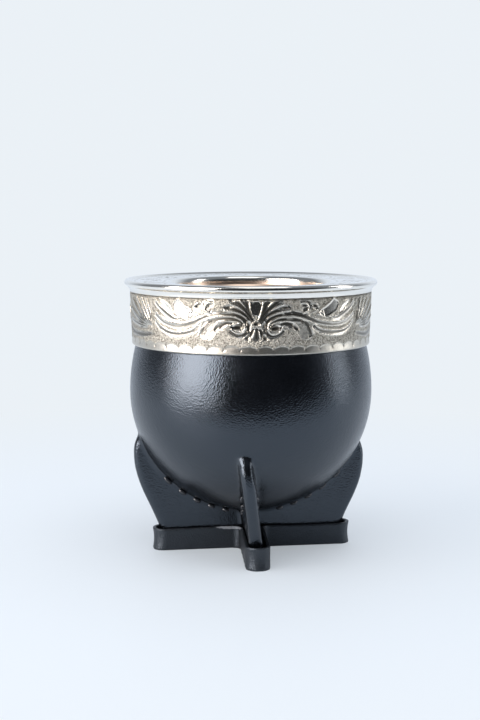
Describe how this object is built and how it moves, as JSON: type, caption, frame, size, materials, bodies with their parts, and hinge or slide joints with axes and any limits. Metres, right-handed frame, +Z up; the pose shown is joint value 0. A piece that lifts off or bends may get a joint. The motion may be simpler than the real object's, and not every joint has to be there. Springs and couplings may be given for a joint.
{
  "type": "mate gourd cup",
  "caption": "Hollow calabash cup for mate in a black leather skin, on leather fins tied by a foot strap, with a chased metal collar round the open mouth.",
  "frame": {"origin": "on the cup's axis, at the level of the surface it stands on", "axes": "+Z up out of the mouth, +X towards the right-hand fin, -Y towards the front fin and the front of the chased band"},
  "size_m": [0.096, 0.096, 0.104],
  "materials": {
    "calabash": "bare dried calabash, matte",
    "black_leather": "finished leather, semi-gloss, fine grain",
    "sole_leather": "flat leather, matte",
    "nickel_silver": "polished and chased, darker in the cuts",
    "thread": "waxed black thread"
  },
  "bodies": {
    "root": {"gourd_shell": "calabash", "leather_cover": "black_leather", "foot_strap": "black_leather", "sole_cross": "sole_leather", "collar_band": "nickel_silver", "collar_rim": "nickel_silver"}
  },
  "joints": []
}
